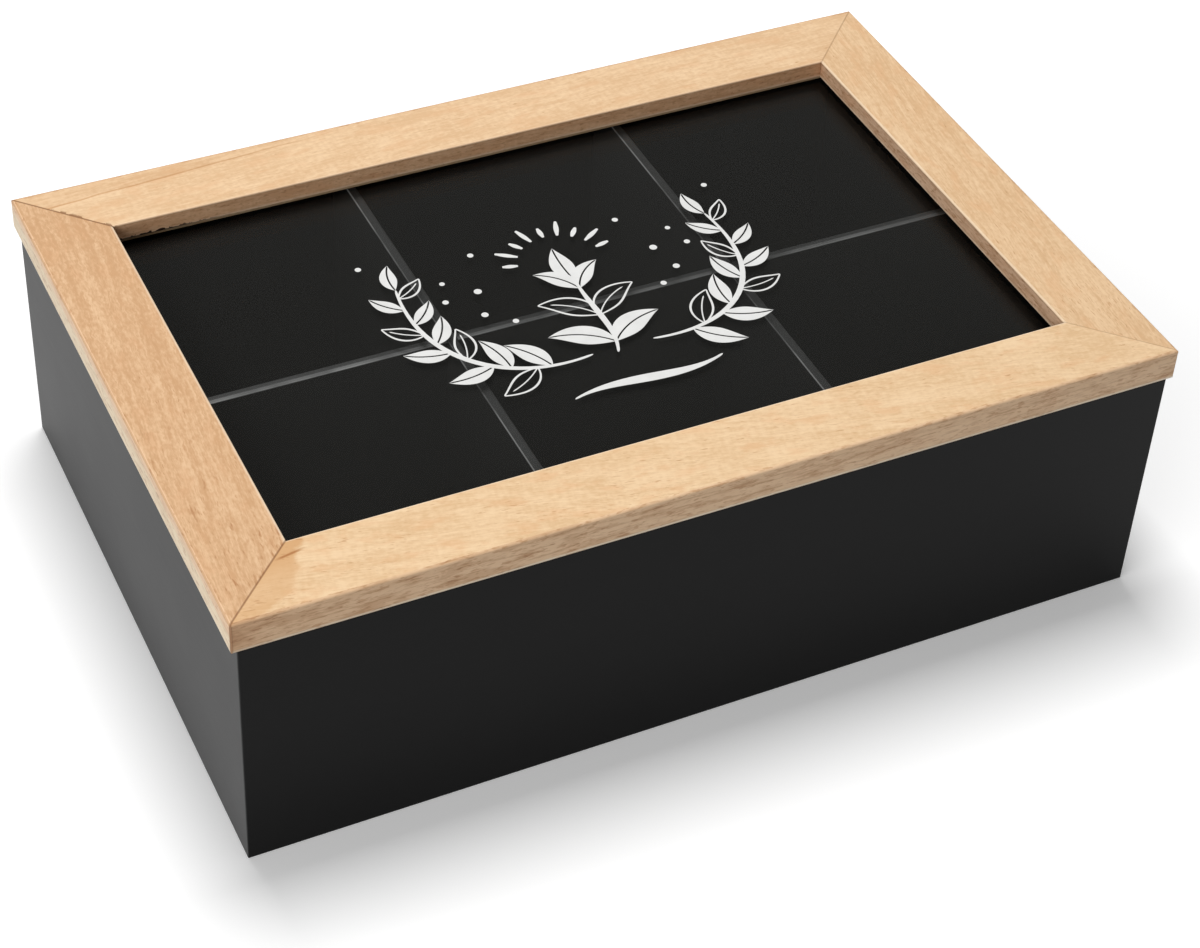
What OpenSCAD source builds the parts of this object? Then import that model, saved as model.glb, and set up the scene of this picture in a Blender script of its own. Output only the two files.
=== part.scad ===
// Tea bag organizer box: a painted box with six bays under a hinged, glazed wooden lid.
// The origin is the middle of the base on the surface it stands on. X runs left to right, Y front to back.

/* [Box] */
// Outside length of the box, left to right
box_l = 237; // [180:1:320]
// Outside depth of the box, front to back
box_d = 161.5; // [120:0.5:240]
// Height of the walls
box_h = 67; // [45:1:110]
// Thickness of the walls
wall = 6; // [5.5:0.5:9]
// Thickness of the bottom panel
bottom_t = 3; // [2:0.5:5]
// How far the bottom panel reaches into each wall
rebate = 3; // [1.5:0.5:4]
// Clearance round the bottom panel
bottom_play = 0.1; // [0.05:0.05:0.3]
// Radius on the outer edges of the box
box_arris = 0.4; // [0.2:0.1:0.9]

/* [Dividers] */
// Thickness of the dividers
divider_t = 2.5; // [2:0.5:5]
// How far the dividers stop below the rim
divider_drop = 0.3; // [0.2:0.1:8]
// How far each end of a divider is let into its wall
dado_d = 1.5; // [0.5:0.25:2.5]
// Where the pair of cross dividers sits, to the right of the middle
cross_offset = 2.25; // [-5:0.25:5]
// Where the long divider sits, behind the middle
long_offset = -1.25; // [-5:0.25:5]
// Clearance round a divider in its grooves and notches
divider_play = 0.1; // [0.05:0.05:0.3]
// Radius on the top edges of the dividers
divider_arris = 0.4; // [0.2:0.1:0.8]

/* [Lid frame] */
// Thickness of the lid
lid_t = 8.5; // [8.5:0.5:14]
// Width of the four rails, seen from above
rail_w = 20; // [18:0.5:34]
// How far the lid stands out over each side
side_overhang = 1.5; // [0:0.25:5]
// How far the lid stands out over the front
front_overhang = 0.5; // [0:0.25:5]
// Gap between the closed lid and the rim
lid_gap = 0.1; // [0.05:0.05:0.3]
// Radius on the outer long edges of the rails
lid_arris = 0.6; // [0.3:0.1:1.4]
// Radius on the top edges of the window
window_arris = 0.3; // [0.1:0.1:1]
// Radius on the upright corners of the lid
corner_arris = 0.5; // [0.3:0.1:2]

/* [Glass] */
// Thickness of the glass
glass_t = 2; // [1.5:0.5:2.5]
// Height of the window's inner faces, from the top of the lid down to the groove
window_face = 4.7; // [2.5:0.1:4.8]
// Depth of the groove that holds the glass
groove_d = 6; // [4.5:0.5:7]
// Width of the lip that carries the glass, from the floor of the groove
lip_reach = 2.6; // [1.5:0.1:4]
// Clearance between the glass and the floor of its groove
glass_play = 0.25; // [0.1:0.05:0.5]
// Gap over the glass in its groove
glass_lift = 0.9; // [0.1:0.1:1.2]

/* [Corner nails] */
// Length of each leg of a V-shaped nail
nail_leg = 3.2; // [2:0.2:3.6]
// Half of the angle between the two legs
nail_half_angle = 38; // [30:1:45]
// Thickness of the nail strip
nail_t = 0.4; // [0.3:0.05:0.6]
// Height of a nail
nail_h = 5; // [3:0.5:6]
// How deep the nails are set into the underside of the lid
nail_set = 0.3; // [0.1:0.1:0.8]
// Distance of the outer nail from each outer face
nail_outer = 4.5; // [3.5:0.5:6]
// Distance from one nail to the next, along either rail
nail_pitch = 5; // [4:0.5:6]
// Clearance round a nail
nail_play = 0.03; // [0.01:0.01:0.05]

/* [Hinges] */
// Distance from each end of the box to the middle of a hinge
hinge_inset = 44.5; // [26:0.5:60]
// Length of a hinge along its pin
hinge_l = 24; // [20:1:36]
// Thickness of a leaf
leaf_t = 0.9; // [0.8:0.05:1.2]
// Radius of the knuckles
knuckle_r = 1.5; // [1.3:0.1:1.8]
// Radius of the pin
pin_r = 0.6; // [0.4:0.05:0.7]
// Running clearance of the pin in the knuckles
pin_play = 0.05; // [0.02:0.01:0.08]
// Radius of the pin's heads
pin_head_r = 1.05; // [0.9:0.05:1.2]
// Thickness of the pin's heads
pin_head_t = 0.4; // [0.3:0.1:0.8]
// Gap between one knuckle and the next
knuckle_gap = 0.3; // [0.2:0.05:0.5]
// Distance of the pin's axis in from the back face
pin_inset = 1; // [0.6:0.1:1.2]
// Radius on the free corners of a leaf
leaf_corner = 0.8; // [0.3:0.1:1.2]
// Distance of a leaf's edge from the inner face of the wall
leaf_margin = 0.25; // [0.1:0.05:0.5]
// Clearance at the ends of a leaf in its recess
leaf_play = 0.1; // [0.05:0.05:0.3]
// Clearance round the knuckles in the wood
knuckle_play = 0.3; // [0.2:0.05:0.4]
// Width of the chamfer along the back edges, which stops the open lid
stop_chamfer = 1.4; // [1.2:0.05:1.6]

/* [Screws] */
// Distance from the middle of a hinge to each screw
screw_x = 7.8; // [6:0.2:9]
// Radius of a screw's head
screw_head_r = 1.3; // [1.1:0.05:1.4]
// Radius of a screw's shank
screw_r = 0.65; // [0.5:0.05:0.8]
// Length of the screws in the box
box_screw_l = 7; // [5:0.5:10]
// Length of the screws in the lid
lid_screw_l = 5.5; // [4:0.5:6]
// Length of a screw's point
screw_tip = 1.5; // [1:0.1:2]
// Clearance round a screw
screw_play = 0.03; // [0.01:0.01:0.05]
// Width of the slots across a screw's head
slot_w = 0.3; // [0.25:0.05:0.4]
// Depth of the slots across a screw's head
slot_d = 0.35; // [0.2:0.05:0.45]

/* [Hidden] */
$fn = 64;

black = [0.07, 0.07, 0.07];
black_inside = [0.12, 0.12, 0.12];
pale_wood = [0.84, 0.67, 0.47];
clear = [0.75, 0.82, 0.85, 0.35];
steel = [0.72, 0.72, 0.74];

// How far a cutting solid runs past the face that it opens
past = 1;
inside_l = box_l - 2 * wall;
inside_d = box_d - 2 * wall;
divider_top = box_h - divider_drop;
lap_z = (bottom_t + divider_top) / 2;
cross_pitch = (inside_l - 2 * divider_t) / 3 + divider_t;
cross_x = [cross_offset - cross_pitch / 2, cross_offset + cross_pitch / 2];
notch_w = divider_t + 2 * divider_play;

lid_l = box_l + 2 * side_overhang;
lid_d = box_d + front_overhang;
lid_y = -front_overhang / 2;
lid_z = box_h + lid_gap;
window_l = lid_l - 2 * rail_w;
window_d = lid_d - 2 * rail_w;
glass_z = lid_t - window_face - glass_lift - glass_t;
glass_reach = groove_d - glass_play;

hinge_x = box_l / 2 - hinge_inset;
axis_y = box_d / 2 - pin_inset;
axis_z = box_h + lid_gap / 2;
knuckle_l = (hinge_l - 2 * knuckle_gap) / 3;
knuckle_step = knuckle_l + knuckle_gap;
leaf_w = wall - pin_inset - leaf_margin;
screw_y = (knuckle_r + leaf_w) / 2;
head_depth = screw_head_r - screw_r;
slot_l = 1.4 * screw_head_r;
tip_r = screw_r / 6;
pocket_l = hinge_l + 2 * (pin_head_t + knuckle_play);

// The waste outside a rounded corner. The corner is at the origin and the body lies towards +X and +Y.
module corner_waste(r) {
    difference() {
        translate([-past, -past]) square(r + past);
        translate([r, r]) circle(r);
    }
}

// A block centred on the Z axis with rounded upright corners
module rounded_block(length, depth, height, r) {
    linear_extrude(height) {
        difference() {
            translate([-length / 2, -depth / 2]) square([length, depth]);
            for (mx = [0, 1], my = [0, 1])
                mirror([mx, 0]) mirror([0, my]) translate([-length / 2, -depth / 2]) corner_waste(r);
        }
    }
}

// A bar with its outer face towards the front, mitred at both ends. Its section is a child: x in, y up.
module mitred_bar(length, depth, height, r) {
    intersection() {
        translate([-length / 2, -depth / 2, 0])
            rotate([90, 0, 90]) linear_extrude(length) children();
        linear_extrude(height)
            polygon([[-length / 2, -depth / 2], [length / 2, -depth / 2], [0, (length - depth) / 2]]);
        rounded_block(length, depth, height, r);
    }
}

// The grooves and notches that all the dividers need, each as wide as a divider and its clearance
module divider_grooves() {
    reach = 2 * (dado_d + divider_play);
    height = box_h - bottom_t + past;
    for (x = cross_x)
        translate([x - notch_w / 2, -(inside_d + reach) / 2, bottom_t])
            cube([notch_w, inside_d + reach, height]);
    translate([-(inside_l + reach) / 2, long_offset - notch_w / 2, bottom_t])
        cube([inside_l + reach, notch_w, height]);
}

module wall_section() {
    difference() {
        square([wall, box_h]);
        translate([wall - rebate, -past]) square([rebate + past, bottom_t + past]);
        corner_waste(box_arris);
        translate([0, box_h]) mirror([0, 1]) corner_waste(box_arris);
    }
}

// The waste of a chamfer along the whole back edge of the lid, or mirrored, of the box. The edge is at z = 0.
module stop_waste() {
    reach = stop_chamfer + past;
    translate([-lid_l / 2 - past, box_d / 2, 0]) rotate([90, 0, 90]) linear_extrude(lid_l + 2 * past)
        polygon([[past, reach], [-reach, -past], [past, -past]]);
}

// What all four walls of the box give up, to the dividers and to the chamfer
module wall_waste() {
    divider_grooves();
    translate([0, 0, box_h]) mirror([0, 0, 1]) stop_waste();
}

module long_wall() {
    mitred_bar(box_l, box_d, box_h, box_arris) wall_section();
}

module side_wall() {
    mitred_bar(box_d, box_l, box_h, box_arris) wall_section();
}

// Puts its children at both hinges, with the pin's axis on the origin and along X
module at_hinges() {
    for (side = [-1, 1])
        translate([side * hinge_x, axis_y, axis_z]) children();
}

// What the wood gives up to one leaf, its knuckles and its screws, drawn for the lid's side
module hinge_recess(reach, screw_l) {
    translate([-hinge_l / 2 - leaf_play, -reach, lid_gap / 2 - past])
        cube([hinge_l + 2 * leaf_play, reach, leaf_t + past]);
    knuckle_bar(0, pocket_l, knuckle_r + knuckle_play);
    at_screws() cylinder(h = screw_l + screw_play, r = screw_r + screw_play);
}

// A round bar along the hinge's axis, with its middle at x
module knuckle_bar(x, length, r) {
    translate([x - length / 2, 0, 0]) rotate([0, 90, 0]) cylinder(h = length, r = r);
}

// Puts its children at both screws of a leaf on the lid's side, on the face of the leaf
module at_screws() {
    for (side = [-1, 1])
        translate([side * screw_x, -screw_y, lid_gap / 2]) children();
}

// A leaf on the lid's side, with its own knuckles and clearance for those of the other leaf
module hinge_leaf(own, other) {
    difference() {
        union() {
            difference() {
                translate([0, 0, lid_gap / 2]) linear_extrude(leaf_t) difference() {
                    translate([-hinge_l / 2, -leaf_w]) square([hinge_l, leaf_w]);
                    for (mx = [0, 1])
                        mirror([mx, 0]) translate([-hinge_l / 2, -leaf_w]) corner_waste(leaf_corner);
                }
                for (k = other)
                    knuckle_bar(k * knuckle_step, knuckle_l + 2 * knuckle_gap, knuckle_r + knuckle_gap);
            }
            for (k = own) knuckle_bar(k * knuckle_step, knuckle_l, knuckle_r);
        }
        knuckle_bar(0, hinge_l + 2 * past, pin_r + pin_play);
        at_screws() {
            cylinder(h = head_depth, r1 = screw_head_r + screw_play, r2 = screw_r + screw_play);
            translate([0, 0, -past]) cylinder(h = leaf_t + 2 * past, r = screw_r + screw_play);
        }
    }
}

module box_leaf(side) {
    color(steel) translate([side * hinge_x, axis_y, axis_z])
        mirror([0, 0, 1]) hinge_leaf([-1, 1], [0]);
}

module lid_leaf(side) {
    color(steel) translate([side * hinge_x, axis_y, axis_z]) hinge_leaf([0], [-1, 1]);
}

module hinge_pin(side) {
    color(steel) translate([side * hinge_x, axis_y, axis_z]) {
        knuckle_bar(0, hinge_l + 2 * pin_head_t, pin_r);
        for (end = [-1, 1]) knuckle_bar(end * (hinge_l + pin_head_t) / 2, pin_head_t, pin_head_r);
    }
}

// A countersunk screw with a cross in its head. The head's face is at the origin and the point is up.
module screw(length) {
    difference() {
        union() {
            cylinder(h = head_depth, r1 = screw_head_r, r2 = screw_r);
            cylinder(h = length - screw_tip, r = screw_r);
            translate([0, 0, length - screw_tip]) cylinder(h = screw_tip, r1 = screw_r, r2 = tip_r);
        }
        for (turn = [0, 90])
            rotate(turn) translate([-slot_l / 2, -slot_w / 2, -past]) cube([slot_l, slot_w, slot_d + past]);
    }
}

module front_panel() {
    color(black) difference() {
        long_wall();
        wall_waste();
    }
}

module back_panel() {
    color(black) difference() {
        rotate(180) long_wall();
        wall_waste();
        at_hinges() mirror([0, 0, 1]) hinge_recess(wall - pin_inset + past, box_screw_l);
    }
}

module left_panel() {
    color(black) difference() {
        rotate(-90) side_wall();
        wall_waste();
    }
}

module right_panel() {
    color(black) difference() {
        rotate(90) side_wall();
        wall_waste();
    }
}

module bottom_panel() {
    length = inside_l + 2 * (rebate - bottom_play);
    depth = inside_d + 2 * (rebate - bottom_play);
    color(black_inside) translate([-length / 2, -depth / 2, 0]) cube([length, depth, bottom_t]);
}

// A divider's board on edge, standing on the bottom panel along X
module divider_board(length) {
    height = divider_top - bottom_t;
    translate([-length / 2, 0, bottom_t]) rotate([90, 0, 90]) linear_extrude(length) difference() {
        translate([-divider_t / 2, 0]) square([divider_t, height]);
        for (mx = [0, 1])
            mirror([mx, 0]) translate([-divider_t / 2, height]) mirror([0, 1]) corner_waste(divider_arris);
    }
}

module long_divider() {
    color(black_inside) difference() {
        translate([0, long_offset, 0]) divider_board(inside_l + 2 * dado_d);
        for (x = cross_x)
            translate([x - notch_w / 2, long_offset - divider_t, lap_z])
                cube([notch_w, 2 * divider_t, box_h]);
    }
}

module cross_divider(x) {
    color(black_inside) difference() {
        translate([x, 0, 0]) rotate(90) divider_board(inside_d + 2 * dado_d);
        translate([x - divider_t, long_offset - notch_w / 2, 0])
            cube([2 * divider_t, notch_w, lap_z + divider_play]);
    }
}

module cross_divider_left() {
    cross_divider(cross_x[0]);
}

module cross_divider_right() {
    cross_divider(cross_x[1]);
}

// A rail's section: the groove for the glass, and under it a lip that is set back from the window
module rail_section() {
    difference() {
        square([rail_w, lid_t]);
        translate([rail_w - groove_d, glass_z]) square([groove_d + past, glass_t + glass_lift]);
        translate([rail_w - groove_d + lip_reach, -past]) square([groove_d, glass_z + 2 * past]);
        corner_waste(lid_arris);
        translate([0, lid_t]) mirror([0, 1]) corner_waste(lid_arris);
        translate([rail_w, lid_t]) mirror([1, 0]) mirror([0, 1]) corner_waste(window_arris);
    }
}

// The plan of a V-shaped nail, grown by its clearance. Its point is at the origin and it opens along X.
module nail_plan(play) {
    thick = nail_t + 2 * play;
    for (side = [-1, 1])
        rotate(side * nail_half_angle) translate([-thick / 2, -thick / 2]) square([nail_leg + thick, thick]);
}

// Puts its children on the mitre of each corner, opening towards the window
module at_nails() {
    for (sx = [-1, 1], sy = [-1, 1], inset = [nail_outer, nail_outer + nail_pitch])
        translate([sx * (lid_l / 2 - inset), sy * (lid_d / 2 - inset), 0])
            rotate(atan2(-sy, -sx)) children();
}

// A rail of the lid where it lies, less the slots of the nails and the chamfer
module lid_rail(turn, length, depth) {
    difference() {
        translate([0, lid_y, lid_z]) rotate(turn)
            mitred_bar(length, depth, lid_t, corner_arris) rail_section();
        translate([0, lid_y, lid_z - past]) at_nails()
            linear_extrude(past + nail_set + nail_h) nail_plan(nail_play);
        translate([0, 0, lid_z]) stop_waste();
    }
}

module lid_rail_front() {
    color(pale_wood) lid_rail(0, lid_l, lid_d);
}

module lid_rail_back() {
    color(pale_wood) difference() {
        lid_rail(180, lid_l, lid_d);
        at_hinges() hinge_recess(leaf_w + leaf_play, lid_screw_l);
    }
}

module lid_stile_left() {
    color(pale_wood) lid_rail(-90, lid_d, lid_l);
}

module lid_stile_right() {
    color(pale_wood) lid_rail(90, lid_d, lid_l);
}

module window_glass() {
    length = window_l + 2 * glass_reach;
    depth = window_d + 2 * glass_reach;
    color(clear) translate([-length / 2, lid_y - depth / 2, lid_z + glass_z]) cube([length, depth, glass_t]);
}

module corner_v_nails() {
    color(steel) translate([0, lid_y, lid_z + nail_set])
        at_nails() linear_extrude(nail_h) nail_plan(0);
}

module hinge_left_box_leaf() {
    box_leaf(-1);
}

module hinge_right_box_leaf() {
    box_leaf(1);
}

module hinge_left_lid_leaf() {
    lid_leaf(-1);
}

module hinge_right_lid_leaf() {
    lid_leaf(1);
}

module hinge_left_pin() {
    hinge_pin(-1);
}

module hinge_right_pin() {
    hinge_pin(1);
}

module box_hinge_screws() {
    color(steel) at_hinges() mirror([0, 0, 1]) at_screws() screw(box_screw_l);
}

module lid_hinge_screws() {
    color(steel) at_hinges() at_screws() screw(lid_screw_l);
}

front_panel();
back_panel();
left_panel();
right_panel();
bottom_panel();
long_divider();
cross_divider_left();
cross_divider_right();
lid_rail_front();
lid_rail_back();
lid_stile_left();
lid_stile_right();
window_glass();
corner_v_nails();
hinge_left_box_leaf();
hinge_left_lid_leaf();
hinge_left_pin();
hinge_right_box_leaf();
hinge_right_lid_leaf();
hinge_right_pin();
box_hinge_screws();
lid_hinge_screws();
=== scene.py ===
"""A tea bag organizer box: a black painted box with six bays under a hinged, glazed lid of pale wood.

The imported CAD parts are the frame. This script gives each its material, prints leaves on the glass, and sets
up the floor, the light and the camera. Places are in metres in the frame, and in millimetres inside the
materials and the print.
"""

import math
from dataclasses import dataclass

import bmesh
import bpy
from mathutils import Matrix, Vector


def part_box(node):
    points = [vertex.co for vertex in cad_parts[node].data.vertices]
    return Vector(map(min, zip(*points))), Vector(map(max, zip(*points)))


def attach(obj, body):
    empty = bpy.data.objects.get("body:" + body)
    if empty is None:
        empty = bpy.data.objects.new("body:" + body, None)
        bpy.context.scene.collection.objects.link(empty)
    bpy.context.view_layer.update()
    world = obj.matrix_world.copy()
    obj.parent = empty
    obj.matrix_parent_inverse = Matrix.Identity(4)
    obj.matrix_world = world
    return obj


MM = 0.001
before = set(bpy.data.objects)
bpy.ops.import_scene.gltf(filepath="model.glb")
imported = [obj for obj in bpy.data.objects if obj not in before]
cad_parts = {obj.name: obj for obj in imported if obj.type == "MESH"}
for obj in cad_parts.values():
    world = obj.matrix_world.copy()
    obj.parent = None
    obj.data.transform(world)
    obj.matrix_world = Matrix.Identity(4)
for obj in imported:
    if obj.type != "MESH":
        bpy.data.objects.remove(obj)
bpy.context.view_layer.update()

# Camera. It stands where the photograph was taken from, and its shift puts the optical centre above the
# middle of the picture.

IMAGE_W, IMAGE_H = 1200, 948
SENSOR = 36.0
LENS = 82.7268
OPTICAL_Y = 374.0
CAMERA_AT = (-0.241972, -0.475566, 0.489195)
CAMERA_RIGHT = (0.9026666, -0.4279081, 0.0456921)
CAMERA_DOWN = (-0.2431009, -0.5946493, -0.7663512)
CAMERA_AHEAD = (0.3550986, 0.6806518, -0.6407949)
CAMERA_CLIP = (0.01, 50.0)

# World and floor. Their strengths are those of a white surface, which is 1. The mirrored room goes from the
# horizon, at 0, to straight overhead, at 1. The floor's fade and glow change over distances in millimetres.

AMBIENT = 0.2
MIRRORED_ROOM = ((0.0, 0.95), (0.16, 0.6), (0.40, 0.18), (0.72, 0.18), (1.0, 0.8))
FLOOR_BOUNCE = 0.44
FLOOR_SHOWN = 0.97
FLOOR_GLOW = 0.165
FLOOR_GLOW_FROM_TO = (125.0, 500.0)
FLOOR_FADE_FROM_TO = (260.0, 900.0)
FLOOR_SIZE = 4.0
FLOOR_Z = -0.00005

# Lamps

KEY_AT = (0.0, 0.248, 1.25)
KEY_TOWARDS = (0.0, 0.248, 0.0)
KEY_SIZE = (0.40, 0.47)
KEY_WATTS = 10.5
FILL_AT = (-0.96, -0.51, 0.51)
FILL_TOWARDS = (0.0, 0.0, 0.04)
FILL_SIZE = (0.9, 0.7)
FILL_WATTS = 6.2

# Lid, in millimetres, for what the wood's material draws at its corners and edges

LID_LOW = Vector(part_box("lid_stile_left")[0]) / MM
LID_HIGH = Vector(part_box("lid_stile_right")[1]) / MM
LID_HALF_L = (LID_HIGH.x - LID_LOW.x) / 2
LID_HALF_D = (LID_HIGH.y - LID_LOW.y) / 2
LID_Y = (LID_HIGH.y + LID_LOW.y) / 2
GLASS_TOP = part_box("window_glass")[1][2] / MM
RAIL_W = 20.0
WINDOW_FACE = 4.7
GROOVE_TOP = LID_HIGH.z - WINDOW_FACE


def make_camera():
    data = bpy.data.cameras.new("camera")
    data.sensor_width = SENSOR
    data.lens = LENS
    data.shift_y = (OPTICAL_Y - IMAGE_H / 2) / IMAGE_W
    data.clip_start, data.clip_end = CAMERA_CLIP
    camera = bpy.data.objects.new("camera", data)
    axes = Matrix((CAMERA_RIGHT, -Vector(CAMERA_DOWN), -Vector(CAMERA_AHEAD))).transposed()
    camera.matrix_world = Matrix.Translation(CAMERA_AT) @ axes.to_4x4()
    bpy.context.scene.collection.objects.link(camera)
    bpy.context.scene.camera = camera


def grey(level):
    return (level, level, level, 1.0)


def linear(r, g, b):
    """A colour as seen on a screen, from 0 to 255 a channel, as Blender's linear colour."""

    def channel(value):
        value /= 255
        return value / 12.92 if value <= 0.04045 else ((value + 0.055) / 1.055) ** 2.4

    return (channel(r), channel(g), channel(b), 1.0)


class Tree:
    """A node tree, with a short call for each kind of node that this script uses."""

    MIX_A, MIX_B, MIX_RESULT = 6, 7, 2
    ARRIS_FROM_TO = (0.985, 0.90)

    def __init__(self, owner):
        owner.use_nodes = True
        self.nodes = owner.node_tree.nodes
        self.links = owner.node_tree.links

    def put(self, socket, value):
        if isinstance(value, bpy.types.NodeSocket):
            self.links.new(value, socket)
        else:
            socket.default_value = value

    def node(self, kind, inputs=None, **settings):
        made = self.nodes.new(kind)
        for name, value in settings.items():
            setattr(made, name, value)
        for name, value in (inputs or {}).items():
            self.put(made.inputs[name], value)
        return made

    def math(self, operation, *values):
        made = self.node("ShaderNodeMath", operation=operation)
        for socket, value in zip(made.inputs, values):
            self.put(socket, value)
        return made.outputs[0]

    def add(self, a, b):
        return self.math("ADD", a, b)

    def less(self, a, b):
        return self.math("SUBTRACT", a, b)

    def times(self, a, b):
        return self.math("MULTIPLY", a, b)

    def most(self, a, b):
        return self.math("MAXIMUM", a, b)

    def size(self, a):
        return self.math("ABSOLUTE", a)

    def total(self, *parts):
        """The sum of values, each given with its weight."""
        whole = 0.0
        for value, weight in parts:
            whole = self.math("MULTIPLY_ADD", value, weight, whole)
        return whole

    def span(self, value, low, high, to_low=0.0, to_high=1.0):
        """value from low to high, taken smoothly to to_low and to_high, and held there beyond them."""
        made = self.node("ShaderNodeMapRange", interpolation_type="SMOOTHSTEP")
        for socket, given in zip(made.inputs, (value, low, high, to_low, to_high)):
            self.put(socket, given)
        return made.outputs[0]

    def combine(self, x, y, z):
        return self.node("ShaderNodeCombineXYZ", {"X": x, "Y": y, "Z": z}).outputs[0]

    def vector(self, operation, a, b):
        made = self.node("ShaderNodeVectorMath", operation=operation)
        self.put(made.inputs[0], a)
        self.put(made.inputs[1], b)
        return made.outputs[0]

    def noise(self, place, sizes, detail=2.0, roughness=0.5):
        """Noise around 0.5 with features about as large as sizes along each axis."""
        inputs = {
            "Vector": self.vector("DIVIDE", place, sizes),
            "Scale": 1.0,
            "Detail": detail,
            "Roughness": roughness,
        }
        return self.node("ShaderNodeTexNoise", inputs).outputs["Fac"]

    def mix(self, share, a, b, blend="MIX"):
        made = self.node("ShaderNodeMix", {"Factor": share}, data_type="RGBA", blend_type=blend)
        self.put(made.inputs[self.MIX_A], a)
        self.put(made.inputs[self.MIX_B], b)
        return made.outputs[self.MIX_RESULT]

    def tint(self, share, colour, by):
        """colour, multiplied by another in a given share."""
        return self.mix(share, colour, by, "MULTIPLY")

    def ramp(self, value, stops):
        made = self.node("ShaderNodeValToRGB", {"Fac": value})
        elements = made.color_ramp.elements
        while len(elements) < len(stops):
            elements.new(0.5)
        for element, (place, level) in zip(elements, stops):
            element.position = place
            element.color = grey(level)
        return made.outputs["Color"]

    def millimetres(self):
        """The place on the piece, in millimetres in the frame at rest."""
        made = self.node("ShaderNodeVectorMath", {"Scale": 1 / MM}, operation="SCALE")
        self.put(made.inputs[0], self.node("ShaderNodeTexCoord").outputs["Object"])
        return made.outputs[0]

    def split(self, vector):
        return self.node("ShaderNodeSeparateXYZ", {"Vector": vector}).outputs

    def normal(self):
        """The way the surface faces along X, Y and Z, from -1 to 1 each."""
        return self.node("ShaderNodeTexCoord").outputs["Normal"]

    def facing(self):
        """How far the surface faces along X, Y and Z, from 0 to 1 each."""
        return self.split(self.vector("ABSOLUTE", self.normal(), (0, 0, 0)))

    def arris(self):
        """1 on a rounded edge between two faces, 0 on the faces."""
        x, y, z = self.facing()
        return self.span(self.most(x, self.most(y, z)), *self.ARRIS_FROM_TO)

    def bump(self, height, strength, depth):
        inputs = {"Height": height, "Strength": strength, "Distance": depth * MM}
        return self.node("ShaderNodeBump", inputs).outputs["Normal"]


def make_world():
    """White behind the object, an even light on it, and a darker room over it for what its gloss mirrors."""
    world = bpy.data.worlds.new("world")
    bpy.context.scene.world = world
    world.cycles.sampling_method = "NONE"
    tree = Tree(world)
    height = tree.split(tree.node("ShaderNodeTexCoord").outputs["Generated"])["Z"]
    mirrored = tree.ramp(height, MIRRORED_ROOM)
    path = tree.node("ShaderNodeLightPath").outputs
    by_gloss = tree.math("GREATER_THAN", path["Glossy Depth"], 0.5)
    by_matt = tree.math("GREATER_THAN", path["Diffuse Depth"], 0.5)
    seen = tree.mix(by_gloss, grey(1.0), mirrored)
    tree.put(tree.nodes["Background"].inputs["Color"], tree.mix(by_matt, seen, grey(AMBIENT)))


def make_floor():
    """A floor that shows white to the camera and in gloss, keeps the object's shadow, and fades to white."""
    mesh = bpy.data.meshes.new("floor")
    corners = [(x * FLOOR_SIZE, y * FLOOR_SIZE, FLOOR_Z) for x, y in ((-1, -1), (1, -1), (1, 1), (-1, 1))]
    mesh.from_pydata(corners, [], [(0, 1, 2, 3)])
    floor = bpy.data.objects.new("floor", mesh)
    bpy.context.scene.collection.objects.link(floor)
    material, tree, shader = principled("floor")
    mesh.materials.append(material)
    path = tree.node("ShaderNodeLightPath").outputs
    matt = tree.math("GREATER_THAN", path["Diffuse Depth"], 0.5)
    x, y, _ = tree.split(tree.millimetres())
    away = tree.math("SQRT", tree.add(tree.times(x, x), tree.times(y, y)))
    far = tree.span(away, *FLOOR_FADE_FROM_TO)
    shown = tree.mix(matt, grey(FLOOR_SHOWN), grey(FLOOR_BOUNCE))
    tree.put(shader.inputs["Base Color"], tree.mix(far, shown, grey(0.0)))
    glow = tree.span(away, *FLOOR_GLOW_FROM_TO, FLOOR_GLOW, 1.0)
    glow_on_matt = tree.mix(far, grey(0.0), grey(FLOOR_BOUNCE))
    tree.put(shader.inputs["Emission Color"], tree.mix(matt, tree.combine(glow, glow, glow), glow_on_matt))
    shader.inputs["Emission Strength"].default_value = 1.0
    shader.inputs["Roughness"].default_value = 1.0
    shader.inputs["Specular IOR Level"].default_value = 0.0
    material.cycles.emission_sampling = "NONE"


def make_lamp(name, at, towards, size, watts):
    data = bpy.data.lights.new(name, "AREA")
    data.shape = "RECTANGLE"
    data.size, data.size_y = size
    data.energy = watts
    lamp = bpy.data.objects.new(name, data)
    lamp.location = at
    lamp.rotation_mode = "QUATERNION"
    lamp.rotation_quaternion = (Vector(towards) - Vector(at)).to_track_quat("-Z", "Y")
    lamp.visible_glossy = False
    lamp.visible_transmission = False
    bpy.context.scene.collection.objects.link(lamp)


def make_lamps():
    make_lamp("key", KEY_AT, KEY_TOWARDS, KEY_SIZE, KEY_WATTS)
    make_lamp("left_fill", FILL_AT, FILL_TOWARDS, FILL_SIZE, FILL_WATTS)


def principled(name):
    material = bpy.data.materials.new(name)
    tree = Tree(material)
    return material, tree, tree.nodes["Principled BSDF"]


# Wood. Sizes and places are in millimetres. A size is along, across and through a plank. A tint multiplies
# the colour under it.

# The dark of the joints, and of the painted shade line right at the lid's lower edge.
JOINT_DARK_AND_GAP_SHADE = linear(126, 78, 40)
PORE_TINT = (0.66, 0.50, 0.38, 1.0)
GROWTH_TINT = (0.74, 0.58, 0.44, 1.0)
# Tints streaks and grime in the wood, and the painted shade under the window's top edge.
STREAK_AND_SHADE_TINT = (0.66, 0.54, 0.44, 1.0)
STAIN = linear(222, 174, 124)
# Painted highlights: the pale lines along the lid's lower outer edge, the window's top edge and the window's
# foot.
PAINTED_HIGHLIGHT = linear(255, 240, 216)
SPLINTER_DARK = linear(44, 28, 16)
WOOD_IOR = 1.45

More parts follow.
